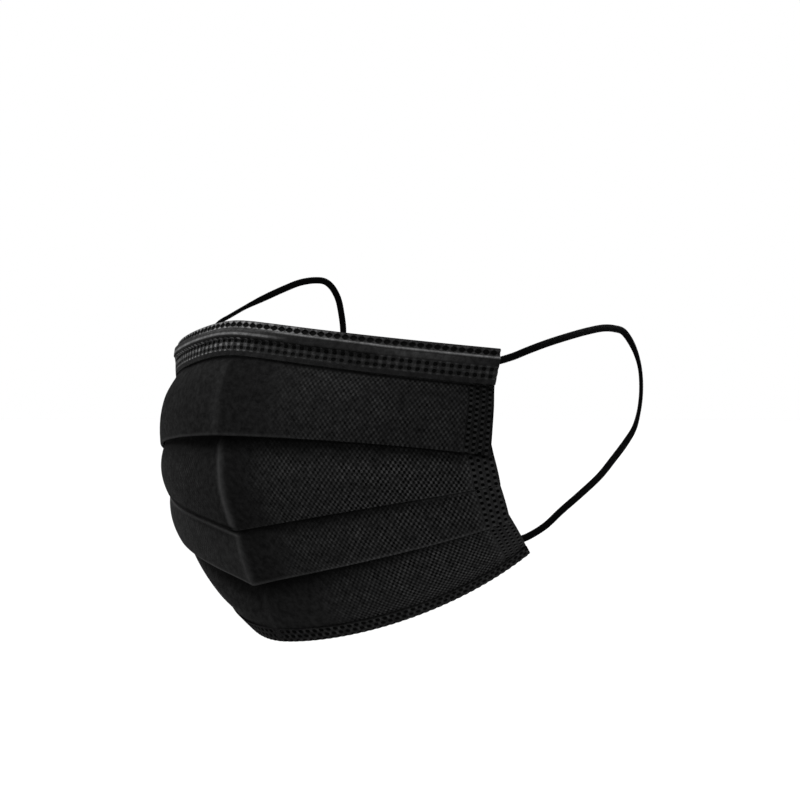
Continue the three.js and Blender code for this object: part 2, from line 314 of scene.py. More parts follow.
def elastic_material():
    """Flat knitted elastic. Its UV map is in millimetres round and along the cord."""
    n = Nodes("ear_loop_elastic")
    uv, x, y = n.uv()
    fuzz = n.noise(uv, 4.0, 3.0, 0.7)
    rib = n.math("SINE", n.times(x, 8.0))
    stitch = n.math("SINE", n.times(y, 7.0))
    knit = n.plus(n.times(rib, stitch), fuzz)
    colour = n.mix(n.steps(knit, -0.6, 1.6), (0.0008, 0.0008, 0.0008), (0.0035, 0.0035, 0.0037))
    n.set(Base_Color=colour, Roughness=0.8, Specular_IOR_Level=0.03, Normal=n.bump(knit, 0.08, 0.8))
    return n.material


def wire_material():
    n = Nodes("nose_wire_coating")
    grain = n.noise(n.add("ShaderNodeTexCoord").outputs["Object"], 900.0, 3.0)
    colour = n.mix(grain, (0.55, 0.55, 0.56), (0.75, 0.75, 0.75))
    n.set(Base_Color=colour, Roughness=0.45, Normal=n.bump(grain, 0.05, 0.5))
    return n.material


# ------------------------------------------------------------------ helpers

SHARP_ANGLE = 50  # degrees between faces, from where an edge is drawn sharp


def make_object(name, points, faces, uvs, material):
    """Object from points in millimetres. uvs are one for each point, or None."""
    mesh = bpy.data.meshes.new(name)
    mesh.from_pydata((np.asarray(points) * MM).tolist(), [], faces)
    mesh.update()
    mesh.polygons.foreach_set("use_smooth", [True] * len(mesh.polygons))
    mesh.set_sharp_from_angle(angle=math.radians(SHARP_ANGLE))
    if uvs is not None:
        layer = mesh.uv_layers.new(name="cloth")
        corner = np.empty(len(mesh.loops), dtype=np.int32)
        mesh.loops.foreach_get("vertex_index", corner)
        layer.uv.foreach_set("vector", np.asarray(uvs, dtype=np.float32)[corner].ravel())
    mesh.materials.append(material)
    piece = bpy.data.objects.new(name, mesh)
    bpy.context.collection.objects.link(piece)
    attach(piece, "root")
    return piece


def unit(vectors):
    return vectors / np.maximum(np.linalg.norm(vectors, axis=-1, keepdims=True), 1e-12)


def smoothstep(x, low, high):
    x = np.clip((x - low) / (high - low), 0, 1)
    return x * x * (3 - 2 * x)


def between(x, start, full, fade, end):
    """0 outside start and end, 1 from full to fade."""
    return smoothstep(x, start, full) * (1 - smoothstep(x, fade, end))


def spread(values, share):
    """Through three values, at the nose, half way and at the side edge."""
    nose, cheek, side = values
    return nose + (side - nose) * share + (cheek - (nose + side) / 2) * 4 * share * (1 - share)


# ------------------------------------------------------------------ ear loops

LOOP_WIDTH = 2.3
LOOP_THICKNESS = 1.4
LOOP_SIDES = 16
LOOP_RINGS = 420
YARNS = 7  # in each of the two sets that wind round a loop
YARN_TURN = 3.2  # in radians for each millimetre
YARN_HEIGHT = 0.05
LOOP_RIGHT_ROUTE = [
    (61.5, 43.7, -11.9), (64.6, 49.6, -12), (67.5, 54.5, -10.6), (69.5, 60.5, -8.4),
    (70.5, 68.5, -6.1), (71, 79, -3.7), (70.5, 90, -1.7), (70, 98.5, -0.6), (69.1, 105.6, -0.6),
    (68.3, 111.6, -1.5), (68, 116.3, -5), (67.5, 119.9, -9), (66.9, 122.5, -13.3),
    (66.6, 123.6, -18), (66.5, 123.5, -23), (66.5, 122.3, -28), (66.9, 119.4, -33),
    (67.4, 113.9, -37.8), (68.1, 106.4, -43), (68.6, 98.4, -48.4), (68.5, 88.2, -54.1),
    (67.4, 79.6, -59.3), (64.8, 74.8, -63.9), (61.2, 71.4, -67), (58.5, 67, -69.1),
    (57.1, 62.4, -72.1),
]
LOOP_LEFT_ROUTE = [
    (-61.5, 43.7, -11.9), (-64.6, 49.6, -12), (-67.5, 53, -7), (-69.2, 56.5, -1.3),
    (-69.5, 61.5, 3.2), (-69, 66.5, 5.7), (-67.8, 73.5, 9.2), (-66, 81, 12.6), (-64, 89, 16),
    (-62.5, 95, 18.2), (-61, 101, 19.2), (-59.8, 105, 18.9), (-59, 107.8, 17),
    (-58.2, 110.2, 13), (-58, 111.8, 7.5), (-58, 112.8, 1), (-58.2, 112, -7),
    (-59, 109.5, -15.5), (-60.2, 105, -25), (-61.6, 99.3, -34), (-63, 92.5, -43),
    (-64.2, 85, -51.5), (-64.6, 79, -58.5), (-63.6, 74.8, -63.9), (-61.2, 71.4, -67),
    (-58.5, 67, -69.1), (-57.1, 62.4, -72.1),
]
# The way that the flat side of each loop faces, at shares of its length.
LOOP_RIGHT_FACING = [
    (0, (1, -0.3, 0)), (0.2, (0.75, -0.65, 0)), (0.4, (0.8, -0.6, 0)), (0.48, (0.9, 0.5, 0)),
    (0.55, (0.7, 0.7, 0)), (0.6, (1, 0.1, 0)), (0.66, (0.8, -0.6, 0)), (1, (1, -0.3, 0)),
]
LOOP_LEFT_FACING = [
    (0, (-1, -0.3, 0)), (0.08, (-0.7, -0.5, 0.5)), (0.13, (-0.5, -0.2, 0.8)),
    (0.21, (-0.5, -0.1, 0.75)), (0.27, (-0.8, 0.6, 0.1)), (0.4, (-0.75, 0.65, 0)),
    (0.7, (-1, 0.2, 0)), (1, (-1, -0.3, 0)),
]


def spline(points, count):
    """Points at even distances along a centripetal Catmull-Rom curve, and its length."""
    p = np.asarray(points, dtype=float)
    p = np.vstack([2 * p[0] - p[1], p, 2 * p[-1] - p[-2]])
    fine = []
    for a, b, c, d in zip(p, p[1:], p[2:], p[3:]):
        gaps = [np.linalg.norm(v - u) ** 0.5 for u, v in ((a, b), (b, c), (c, d))]
        t0, t1, t2, t3 = np.cumsum([0] + gaps)
        t = np.linspace(t1, t2, 24, endpoint=False)[:, None]
        ab = (t1 - t) / (t1 - t0) * a + (t - t0) / (t1 - t0) * b
        bc = (t2 - t) / (t2 - t1) * b + (t - t1) / (t2 - t1) * c
        cd = (t3 - t) / (t3 - t2) * c + (t - t2) / (t3 - t2) * d
        left = (t2 - t) / (t2 - t0) * ab + (t - t0) / (t2 - t0) * bc
        right = (t3 - t) / (t3 - t1) * bc + (t - t1) / (t3 - t1) * cd
        fine.append((t2 - t) / (t2 - t1) * left + (t - t1) / (t2 - t1) * right)
    fine = np.vstack([*fine, p[-2][None]])
    run = np.concatenate([[0], np.cumsum(np.linalg.norm(np.diff(fine, axis=0), axis=1))])
    even = np.linspace(0, run[-1], count)
    return np.stack([np.interp(even, run, fine[:, k]) for k in range(3)], axis=1), run[-1]


def rod_faces(rings, sides):
    """Faces round a rod of rings of points, with its two ends closed."""
    faces = [(r * sides + k, r * sides + (k + 1) % sides, (r + 1) * sides + (k + 1) % sides,
              (r + 1) * sides + k) for r in range(rings - 1) for k in range(sides)]
    faces.append(tuple(reversed(range(sides))))
    faces.append(tuple((rings - 1) * sides + k for k in range(sides)))
    return faces


def build_loop(name, node, route, facing, material):
    """Flat knitted cord along a route."""
    line, length = spline(route, LOOP_RINGS)
    along = unit(np.gradient(line, axis=0))
    run = np.linspace(0, length, LOOP_RINGS)
    shares, ways = zip(*facing)
    flat = np.stack([np.interp(run / length, shares, part) for part in zip(*ways)], axis=1)
    flat = unit(flat - along * (flat * along).sum(axis=1, keepdims=True))
    wide = np.cross(along, flat)
    angle = np.linspace(0, math.tau, LOOP_SIDES, endpoint=False)
    turn, around = YARN_TURN * run[:, None], YARNS * angle[None]
    yarns = YARN_HEIGHT * (np.cos(around + turn) * np.cos(around - turn))
    across = (LOOP_WIDTH / 2 + yarns) * np.cos(angle)
    proud = (LOOP_THICKNESS / 2 + yarns) * np.sin(angle)
    points = line[:, None] + across[..., None] * wide[:, None] + proud[..., None] * flat[:, None]
    uvs = np.stack(np.broadcast_arrays(angle[None] * LOOP_WIDTH / 2, run[:, None]), axis=-1)
    piece = make_object(name, points.reshape(-1, 3), rod_faces(LOOP_RINGS, LOOP_SIDES),
                        uvs.reshape(-1, 2), material)
    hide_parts(node)


# ------------------------------------------------------------------ the cloth's rows

# Creases across the mask, as in part.mjs. y and z place the middle of each. Of its turn
# towards the back, ridge degrees come within about soft of the middle, sweep evenly along
# it and curl towards its end. It climbs by rise to the side, from about round on, and lift
# bends it up towards its end.
CREASES = {
    "top":    dict(y=0,    z=0,      ridge=11, soft=9,  sweep=46, curl=7,  rise=-14,   round=8,   lift=3.5),
    "hem":    dict(y=-2.5, z=-10,    ridge=11, soft=10, sweep=54, curl=0,  rise=-15.5, round=12,  lift=4),
    "pleat1": dict(y=-7.5, z=-35,    ridge=18, soft=7,  sweep=28, curl=6,  rise=-2.5,  round=5,   lift=-3.5),
    "pleat2": dict(y=1,    z=-65,    ridge=9,  soft=3,  sweep=33, curl=15, rise=15,    round=1.5, lift=0),
    "pleat3": dict(y=10,   z=-82,    ridge=8,  soft=3,  sweep=13, curl=46, rise=15.5,  round=1.5, lift=5),
    "bottom": dict(y=21.5, z=-101.2, ridge=22, soft=5,  sweep=36, curl=6,  rise=11,    round=28,  lift=20.3),
}
CREASE_STEP = 0.2

# Strips between the creases, each down to the crease that it is named for. rows is how
# many rows of points it has, nose and cheek how far it bulges there. Where it ends in a
# pleat, shelf is the depth of the pocket under its lower edge and lap the pocket's height,
# both at the nose, half way and at the side. pinch is how far the crease down the middle
# stands out, pull how far the cloth beside it comes out with it, settle how much of that is
# gone at the lower edge, and line how bright a painted highlight along the lower edge is,
# on the left, beside the nose and on the right. weave is how far the bonds show, and from
# what distance from the crease down the middle, where the cloth is drawn smooth. The last
# two are painted shade: how far down it reaches below the pleat above, and how dark it is
# just to the right of the crease down the middle, on the side turned from the light.
PLAIN = dict(shelf=None, lap=None, pinch=0, pull=0, settle=0.0, line=None, painted_shade=None, painted_ridge_shade=0)
STRIPS = [
    dict(PLAIN, to="hem", rows=8, nose=0.4, cheek=0.4, weave=(0, 24)),
    dict(PLAIN, to="pleat1", rows=54, nose=1, cheek=2.8, shelf=(3.5, 1.9, 1.5), lap=(1.5, 3.2, 5),
         pinch=0.12, pull=0.7, line=(1, 0.85, 0.05), weave=(0.6, 20), painted_ridge_shade=0.45),
    dict(PLAIN, to="pleat2", rows=60, nose=2.7, cheek=2.4, shelf=(2.5, 2.2, 1.6), lap=(1.5, 3.2, 5),
         pinch=0.6, pull=0.9, settle=0.85, line=(0, 0, 0), weave=(1.0, 10), painted_shade=(11, 9, 2), painted_ridge_shade=0.5),
    dict(PLAIN, to="pleat3", rows=42, nose=1, cheek=1.8, shelf=(5, 2, 1.5), lap=(1.5, 3.2, 5),
         pinch=0.32, pull=1.1, line=(1.7, 1.0, 1.1), weave=(0.8, 14), painted_shade=(5, 4.5, 0.5), painted_ridge_shade=0.45),
    dict(PLAIN, to="bottom", rows=64, nose=1.5, cheek=4, pinch=0.1, pull=0.3, weave=(0.9, 22),
         painted_shade=(10, 7, 3), painted_ridge_shade=0.1),
]


def crease_line(crease, t):
    """Points and directions of a crease at distances t from the centre line."""
    c = crease

    def heading(s):
        slope = c["rise"] * s / np.hypot(s, c["round"]) / HALF_WIDTH + 2 * c["lift"] * s / HALF_WIDTH**2
        turn = np.radians(c["ridge"] * (1 - np.exp(-s / c["soft"])) + c["sweep"] * s / HALF_WIDTH
                          + c["curl"] * (s / HALF_WIDTH) ** 2)
        level = np.sqrt(1 - slope**2)
        return np.stack([level * np.cos(turn), level * np.sin(turn), slope], axis=-1)

    s = np.arange(0, HALF_WIDTH + CREASE_STEP, CREASE_STEP)
    path = np.cumsum(heading(s[:-1] + CREASE_STEP / 2) * CREASE_STEP, axis=0)
    path = np.concatenate([np.zeros((1, 3)), path]) + (0, c["y"], c["z"])
    far = np.abs(t)
    point = np.stack([np.interp(far, s, path[:, k]) for k in range(3)], axis=-1)
    along = heading(far)
    side = np.where(t < 0, -1.0, 1.0)
    point[:, 0] *= side
    along[:, 1:] *= side[:, None]
    return point, along


def inward_level(along):
    """The level direction behind a crease."""
    return unit(np.stack([-along[:, 1], along[:, 0], np.zeros(len(along))], axis=-1))


class Strip:
    """The outer face of one strip, for a row of distances t from the centre line. Shares f
    run down it from 0 to 1, and covered is the share that lies in the pocket above."""

    def __init__(self, row, t, head, head_along, covered):
        self.row = row
        self.head, self.head_along = head, head_along
        self.foot, self.foot_along = crease_line(CREASES[row["to"]], t)
        self.bulge = spread((row["nose"], row["cheek"], EDGE_BULGE), np.abs(t) / HALF_WIDTH)
        self.inward = inward_level(self.foot_along)
        self.length = np.linalg.norm(self.foot - self.head, axis=-1)
        self.covered = covered / self.length

    def point(self, f):
        f = np.broadcast_to(f, self.length.shape)
        open_share = np.maximum(0, (f - self.covered) / (1 - self.covered))
        straight = self.head + (self.foot - self.head) * f[:, None]
        return straight - self.inward * (self.bulge * 4 * open_share * (1 - open_share))[:, None]

    def normal(self, f):
        share = np.broadcast_to(f, self.length.shape)[:, None]
        along = self.head_along + (self.foot_along - self.head_along) * share
        return unit(np.cross(along, self.point(f + 0.01) - self.point(f - 0.01)))

    def up(self, f):
        return unit(self.point(f - 0.01) - self.point(f + 0.01))

    def at(self, f, depth):
        return self.point(f) + self.normal(f) * np.broadcast_to(depth, self.length.shape)[:, None]


def strips_at(t):
    share = np.abs(t) / HALF_WIDTH
    head, along = crease_line(CREASES["top"], t)
    covered = np.zeros_like(t)
    strips = []
    for row in STRIPS:
        strip = Strip(row, t, head, along, covered)
        strips.append(strip)
        head, along, covered = strip.foot, strip.foot_along, np.zeros_like(t)
        if row["lap"]:
            covered = spread(row["lap"], share)
            roof = strip.at(1 - covered / strip.length, PLY)
            head = roof + inward_level(along) * (spread(row["shelf"], share) - PLY)[:, None]
    return strips


PANEL_STEP = 1.25  # between columns of points, along the mask
WELD_STEP = 0.42  # between columns where welds are pressed
MIDDLE_STEP = 0.4  # beside the crease down the middle
MIDDLE_BAND = 3.2


def columns(step):
    """Distances from the left side edge to the right one, closer together in the side
    bands and at the crease down the middle."""
    side = HALF_WIDTH - SIDE_BAND
    half = np.concatenate([
        np.arange(0, MIDDLE_BAND, MIDDLE_STEP),
        np.linspace(MIDDLE_BAND, side, round((side - MIDDLE_BAND) / step), endpoint=False),
        np.linspace(side, HALF_WIDTH, round(SIDE_BAND / WELD_STEP) + 1)])
    return np.concatenate([-half[:0:-1], half])


def dots(x, y, rows):
    """1 inside the dots of a pattern, 0 outside, as the materials have it."""
    found = 0.0
    for shift in ((0.0, 0.5) if rows["staggered"] else (0.0,)):
        legs = [(((value / pitch + 0.5 - shift) % 1) - 0.5) * pitch / half
                for value, pitch, half in zip((x, y), rows["pitch"], rows["dot"])]
        found = np.maximum(found, 1 - smoothstep(np.hypot(*legs), *SOFT_DOT))
    return found


def shell(name, node, middle, uvs, marks, dents, material, ripple=0.0):
    """Closed sheet round a grid of points, rows by columns, with its outer face in front.

    marks are the attributes for the material. The inner face has only the weave, and none
    of the painted highlights and shade. dents is how deep the welds press in, and ripple moves both faces."""
    rows, cols = middle.shape[:2]
    normal = unit(np.cross(np.gradient(middle, axis=0), np.gradient(middle, axis=1)))
    outer = middle + normal * (PLY / 2 - dents + ripple)[..., None]
    inner = middle - normal * (PLY / 2 - INNER_DENT * dents - ripple)[..., None]
    points = np.concatenate([outer.reshape(-1, 3), inner.reshape(-1, 3)])
    index = np.arange(rows * cols).reshape(rows, cols)
    a, b, c, d = index[:-1, :-1], index[:-1, 1:], index[1:, 1:], index[1:, :-1]
    front = np.stack([a, d, c, b], axis=-1).reshape(-1, 4)
    back = np.stack([a, b, c, d], axis=-1).reshape(-1, 4) + rows * cols
    rim = np.concatenate([index[0, :-1], index[:-1, -1], index[-1, :0:-1], index[:0:-1, 0]])
    following = np.roll(rim, -1)
    edge = np.stack([rim, following, following + rows * cols, rim + rows * cols], axis=-1)
    faces = np.concatenate([front, back, edge]).tolist()
    piece = make_object(name, points, faces, np.concatenate([uvs.reshape(-1, 2)] * 2), material)
    for title, values in marks.items():
        outside = np.broadcast_to(values, (rows, cols)).ravel()
        inside = outside if title == "weave" else np.zeros_like(outside)
        layer = piece.data.attributes.new(title, "FLOAT", "POINT")
        layer.data.foreach_set("value", np.concatenate([outside, inside]))
    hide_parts(node)
    return piece


# ------------------------------------------------------------------ the pleated cloth

CREASE_REACH = 1.3  # how far the crease down the middle reaches to each side
PULL_REACH = 5  # how far the cloth is pulled out beside it
CREASE_HIGHLIGHT = 2.4  # painted highlight along the crease, for each unit of pinch
CREASE_SHIFT = 0.7  # that highlight lies this far to the left of the middle
SIDE_PAINT = 0.5  # how pale the side bands are below the first pleat
PAINTED_SIDE_SHADE = 0.28  # painted shade on the first strip, towards the sides
HEM_SHADE = 1.2  # painted shadow along the line under the top hem
LAST_SHADE = 1.1  # painted shadow along the line under pleat 3
PAINTED_SHADOW_LINE = 1.4  # painted shadow along the line under pleat 2, on the left
PAINTED_HIGHLIGHT_LINE = 2.5  # painted highlight along the line that lies under that one
PAINTED_FILL_LIGHT = 0.9  # painted light that fills in the shade of pleat 2 at the sides, where it is pressed flat
HIDDEN_BONDS = 0.65  # share of the bonds that goes where shade is painted
RIPPLE = 0.05  # height of the waves of the slack cloth
PUCKER = 0.09


def weave_at(row, t):
    """How far the bonds show: less towards the middle, and less on the left."""
    amount, start = row["weave"]
    far = np.abs(t)
    shows = amount * smoothstep(far, start - 6, start + 12) * (0.6 + 0.4 * smoothstep(far, 25, 60))
    return shows * (0.45 + 0.55 * smoothstep(t, -12, 0))


def on_left(t):
    return 1 - smoothstep(t, -2, 2)


def at_sides(t):
    return smoothstep(np.abs(t), 45, 78)


# Strength of the painted highlight along a strip's lower edge, across the mask.
def edge_highlight(row, t):
    return np.interp(t, (-10, 15, 38), row["line"])


def paint_at(s, t, f, out):
    """Painted highlights and painted shade, a share f down a strip."""
    row, far = s.row, np.abs(t)
    first = row["to"] == "pleat1"
    above = (1 - f) * s.length
    below = (f - s.covered) * s.length
    # Painted highlight just left of the crease, and painted shade just to its right.
    fold = CREASE_HIGHLIGHT * row["pinch"] * np.exp(-((t + CREASE_SHIFT) / CREASE_REACH) ** 2) * out
    painted_shade = row["painted_ridge_shade"] * smoothstep(t, 0.6, 1.8) * (1 - smoothstep(t, 6, 26 if first else 18))
    if row["painted_shade"]:
        fold = fold + SIDE_PAINT * smoothstep(far, 76, 80)
        reach = spread(row["painted_shade"], far / HALF_WIDTH)
        if row["to"] == "pleat3":
            reach = reach * (1 - 0.85 * on_left(t))
        # Painted shade below the pleat above, fading downwards.
        painted_shade = np.maximum(painted_shade, 1 - smoothstep(below, -1.0, reach))
    if row["lap"]:
        # Painted highlight along the lower edge.
        fold = np.maximum(fold, edge_highlight(row, t) * (1 - smoothstep(above, 0.3, 1.3)))
    if first:
        # Painted shade: a dark line right under the hem, and more towards the sides; the painted shade
        # beside the crease is deepest at the top.
        painted_shade = np.maximum(painted_shade * (1.2 - 0.6 * f), PAINTED_SIDE_SHADE * smoothstep(far, 38, 60))
        painted_shade = np.maximum(painted_shade, HEM_SHADE * (1 - smoothstep(f * s.length, 0.4, 1.4)))
    elif row["to"] == "pleat2":
        # The lower edge turns under on the left, where its last 2 mm are painted in shadow.
        painted_shade = np.maximum(painted_shade, PAINTED_SHADOW_LINE * on_left(t) * (1 - smoothstep(above, 1.1, 1.8)))
    elif row["to"] == "pleat3":
        # Pleat 2 is pressed flat at the sides, where painted light fills in the shade of its line. On the
        # left a painted shadow line lies under it, a painted highlight line under that, and the cloth is
        # painted a little lighter.
        painted_shade = np.maximum(painted_shade, PAINTED_SHADOW_LINE * on_left(t) * (1 - smoothstep(below, 0.6, 1.2)))
        fold = fold + PAINTED_FILL_LIGHT * at_sides(t) * (np.abs(below - 0.2) < 0.7)
        fold = fold + on_left(t) * (0.25 + PAINTED_HIGHLIGHT_LINE * np.exp(-((below - 1.7) / 0.42) ** 2))
    elif row["to"] == "bottom":
        # Painted shadow line right under pleat 3.
        painted_shade = np.maximum(painted_shade, LAST_SHADE * (1 - smoothstep(below, 0.1, 0.9)))
    return fold, painted_shade


def panel_depth(s, f):
    """How far the cloth stands back, to make room for the hems."""
    if s.row["to"] == "hem":
        return HEM_REACH
    if s.row["to"] == "pleat1":
        return HEM_REACH * (1 - smoothstep(f, 0.02, 0.35))
    if s.row["to"] == "bottom":
        low, high = 1 - (BOTTOM_HEM + 6) / s.length, 1 - (BOTTOM_HEM + 0.4) / s.length
        return HEM_REACH * smoothstep(f, low, high)
    return 0.0


def ridge(row, t):
    """How far the crease down the middle and the cloth beside it stand out."""
    crease = row["pinch"] * np.exp(-np.abs(t) / CREASE_REACH)
    return crease + row["pull"] * np.exp(-(np.hypot(t, 1) - 1) / PULL_REACH)


def strip_rows(s, t):
    """Rows down a strip: points, how far the welds show, painted highlight and painted shade."""
    row = s.row
    start, end = 0.0, 1.0
    if row["to"] == "hem":
        start = 0.6 / s.length
    if row["to"] == "bottom":
        end = 1 - 0.9 / s.length
    if row["lap"]:
        end = 1 - (FOLD + PLY / 2) / s.length
    # The first strip under the hem begins where the strip inside the hem ends.
    for i in range(1 if row["to"] == "pleat1" else 0, row["rows"] + 1):
        f = start + (end - start) * i / row["rows"]
        out = smoothstep(f, 0.0, 0.3 if row["to"] == "pleat1" else 0.15)
        stand = ridge(row, t) * out * (1 - row["settle"] * smoothstep(f, 0.45, 1.0))
        yield s.at(f, panel_depth(s, f) + PLY / 2 - stand), 1.0, *paint_at(s, t, f, out)


def pleat_rows(s, following, t):
    """Rows round the lower edge of a strip, up its pocket and round into the next strip."""
    pressed = s.row["to"] == "pleat2"
    stand = ridge(s.row, t) * (1 - s.row["settle"])
    up, normal = s.up(1.0), s.normal(1.0)
    centre = s.foot + up * (FOLD + PLY / 2) + normal * (FOLD + PLY / 2 - stand)[:, None]
    for phi in np.radians((36, 72, 108, 144, 180)):
        # Painted highlight along the fold's edge; on pleat 2, painted light at the sides and painted shadow
        # on the left.
        fold = edge_highlight(s.row, t) * max(0.0, 1 - phi) + (PAINTED_FILL_LIGHT * at_sides(t) if pressed else 0.0)
        yield (centre - FOLD * (math.cos(phi) * normal + math.sin(phi) * up), 0.0, fold,
               PAINTED_SHADOW_LINE * on_left(t) if pressed else 0.0)
    bottom = centre + FOLD * normal
    up, normal = following.up(0.0), following.normal(0.0)
    centre = following.head + normal * (PLY / 2 - FOLD)
    top = centre - FOLD * normal
    for share in (0.33, 0.67, 1.0):
        yield bottom + (top - bottom) * share, 0.0, 0.0, 0.0
    for phi in np.radians((36, 72, 108, 144)):
        yield centre - FOLD * (math.cos(phi) * normal - math.sin(phi) * up), 0.0, 0.0, 0.0


def panel_grid(t):
    """Middle surface of the pleated cloth, its distance down the cloth, how far the welds
    show at each point, and its marks."""
    lines, shown = [], []
    marks = {"fold": [], "weave": [], "painted_shade": []}
    strips = strips_at(t)
    for s, following in zip(strips, strips[1:] + [None]):
        rows = list(strip_rows(s, t))
        if s.row["lap"]:
            rows += pleat_rows(s, following, t)
        for points, show, fold, painted_shade in rows:
            lines.append(points)
            shown.append(np.full_like(t, show))
            weave = weave_at(s.row, t) * (1 - HIDDEN_BONDS * np.clip(painted_shade, 0, 1))
            for title, value in (("fold", fold), ("weave", weave), ("painted_shade", painted_shade)):
                marks[title].append(np.broadcast_to(value, t.shape))
    middle = np.stack(lines)
    steps = np.linalg.norm(np.diff(middle, axis=0), axis=-1)
    down = np.concatenate([np.zeros((1, len(t))), np.cumsum(steps, axis=0)])
    return middle, down, np.stack(shown), {title: np.stack(rows) for title, rows in marks.items()}


def side_welds(t, v):
    across = HALF_WIDTH - np.abs(t) - SIDE_FIRST
    return dots(across, v, SIDE_WELDS) * (across < SIDE_LIMIT)


def ripples(t, v):
    """Slack in the cloth: long soft waves, and short puckers beside the side welds."""
    waves = (np.sin(t / 6.1 + v / 9.7 + 0.4) + np.sin(t / 9.3 - v / 5.9 + 1.9)
             + 0.6 * np.sin(t / 3.7 + v / 13.1 + 4.0))
    puckers = np.sin(v * 1.25 + 0.8 * np.sin(v / 4.3))
    edge = HALF_WIDTH - np.abs(t)
    beside = between(edge, 7, 11, 12, 26)
    return RIPPLE * waves * smoothstep(edge, 6, 14) + PUCKER * beside * puckers


def build_panel(material):
    t = columns(PANEL_STEP)
    middle, v, shown, marks = panel_grid(t)
    t = np.broadcast_to(t, v.shape)
    piece = shell("pleated_cloth", "pleated_panel", middle, np.stack([t, v], axis=-1), marks,
                  SIDE_DENT * side_welds(t, v) * shown, material, ripples(t, v) * shown)


# ------------------------------------------------------------------ the hems

HEM_ARC = 10  # rows round a hem's fold
HEM_START = 1.2  # from the edge to the first row behind it


def top_hem_bulge(t, drop):
    """The channel over the nose wire. Over the nose the wire tips back and its upper
    side is a broad slope; past the wire's ends the channel runs out as a lip."""
    far = np.abs(t)
    nose = 1 - smoothstep(far, 8, 24)
    wire = 1 - smoothstep(far, WIRE_HALF, WIRE_HALF + WIRE_END)
    upper = smoothstep(drop, 1.2 - 0.2 * nose, 1.8 + 0.9 * nose)
    lower = 1 - smoothstep(drop, 4.35, 4.8)
    lip = between(drop, 1.25, 1.9, 1.9, 6.0)
    return wire * WIRE_BULGE * np.minimum(upper, lower) + (1 - wire) * 0.6 * lip


def turned_hem(s, t, front, back, to_f, sign, bulge):
    """Strip of cloth folded over an edge of the mask. Its rows run from its outer free
    edge, round the fold, to its inner one. front and back are their distances from the
    fold, to_f makes a distance a share down the strip s, and sign is 1 at the top edge."""
    radius = (HEM_REACH + PLY) / 2
    reach = radius + PLY / 2
    lines = [s.at(to_f(drop), PLY / 2 - bulge(t, drop)) for drop in front]
    drops = list(front)
    normal, up = s.normal(to_f(0.5)), s.up(to_f(0.5)) * sign
    centre = s.at(to_f(reach), PLY / 2 + radius)
    for phi in np.linspace(0, math.pi, HEM_ARC):
        lines.append(centre - radius * (math.cos(phi) * normal - math.sin(phi) * up))
        drops.append(reach * (1 - phi / math.pi * 2))
    lines += [s.at(to_f(drop), PLY / 2 + 2 * radius) for drop in back]
    drops += [-drop for drop in back]
    order = -sign  # so that the outer face looks out
    middle = np.stack(lines)[::order]
    v = np.broadcast_to(np.array(drops)[::order, None], middle.shape[:2])
    return middle, np.broadcast_to(t, v.shape), v


def top_hem_marks(t, v):
    """Painted highlights: a bright band along the top of the channel; on the left and over the
    nose, where the wire tips back, along the channel's lower side; and a fainter one towards
    the right end. Painted shade along the groove under the wire. The painted highlights round
    the welds are brighter on the left and over the nose too."""
    low = v - HEM_RISE
    left = 1 - smoothstep(t, 4, 24)
    wire = 1 - smoothstep(np.abs(t), WIRE_HALF, WIRE_HALF + WIRE_END)
    pale = ((1 - left) * 8.5 * between(low, 1.4, 1.7, 1.8, 2.15)
            + left * 0.9 * between(low, 1.3, 1.6, 2.8, 3.2)
            + left * 7.5 * between(low, 2.9, 3.3, 3.6, 4.0)
            + 1.3 * np.exp(-((t - 62) / 13) ** 2) * between(low, 2.2, 2.6, 3.8, 4.4))
    # Painted shade in the groove under the wire.
    groove_shade = wire * between(low, 4.1, 4.5, 4.8, 5.1)
    # How bright the painted highlights round the welds are, most on the left.
    edge_row = 8 * (1 - smoothstep(t, 12, 45))
    lower_rows = 5.5 * (1 - smoothstep(t, -2, 12))
    return {"fold": pale - 0.45 * groove_shade,
            "weave": 1.0 + (v > -0.2) * np.where(v < 3, edge_row, lower_rows)}


def build_top_hem(material):
    t = columns(WELD_STEP)
    s = strips_at(t)[0]
    # The rows are closest where the channel ends below the wire.
    front = np.concatenate([np.linspace(HEM_HEIGHT, 6.2, 15, endpoint=False),
                            np.linspace(6.2, 5.4, 5, endpoint=False), np.linspace(5.4, 1, 19)])
    middle, t, v = turned_hem(
        s, t, front, np.arange(HEM_START, HEM_HEIGHT, 0.6), lambda drop: (drop - HEM_RISE) / s.length,
        1, lambda t, drop: top_hem_bulge(t, drop - HEM_RISE))
    low, high = TOP_HEM_LIMITS
    down, edge = np.abs(v) - TOP_HEM_FIRST, v - EDGE_FIRST
    welds = dots(t, down, HEM_WELDS) * (down > low) * (down < high)
    beside = dots(t, edge, EDGE_WELDS) * (np.abs(edge) < EDGE_LIMIT)
    piece = shell("top_hem_strip", "top_hem", middle, np.stack([t, v], axis=-1), top_hem_marks(t, v),
                  TOP_DENT * np.maximum(welds, beside), material)


def build_bottom_hem(material):
    t = columns(WELD_STEP)
    s = strips_at(t)[-1]
    middle, t, v = turned_hem(
        s, t, np.arange(BOTTOM_HEM, 1.0, -0.33), np.arange(HEM_START, BOTTOM_HEM, 0.5),
        lambda drop: 1 - drop / s.length, -1, lambda t, drop: 0.0)
    welds = dots(t, np.abs(v) - BOTTOM_HEM_FIRST, BOTTOM_HEM_WELDS) * (np.abs(v) < BOTTOM_DENT_LIMIT)
    # How bright the painted highlights round the welds are: brighter towards the right.
    marks = {"weave": 0.9 * (0.3 + 0.7 * smoothstep(t, -5, 25))}
    piece = shell("bottom_hem_strip", "bottom_hem", middle, np.stack([t, v], axis=-1), marks,
                  BOTTOM_DENT * welds, material)


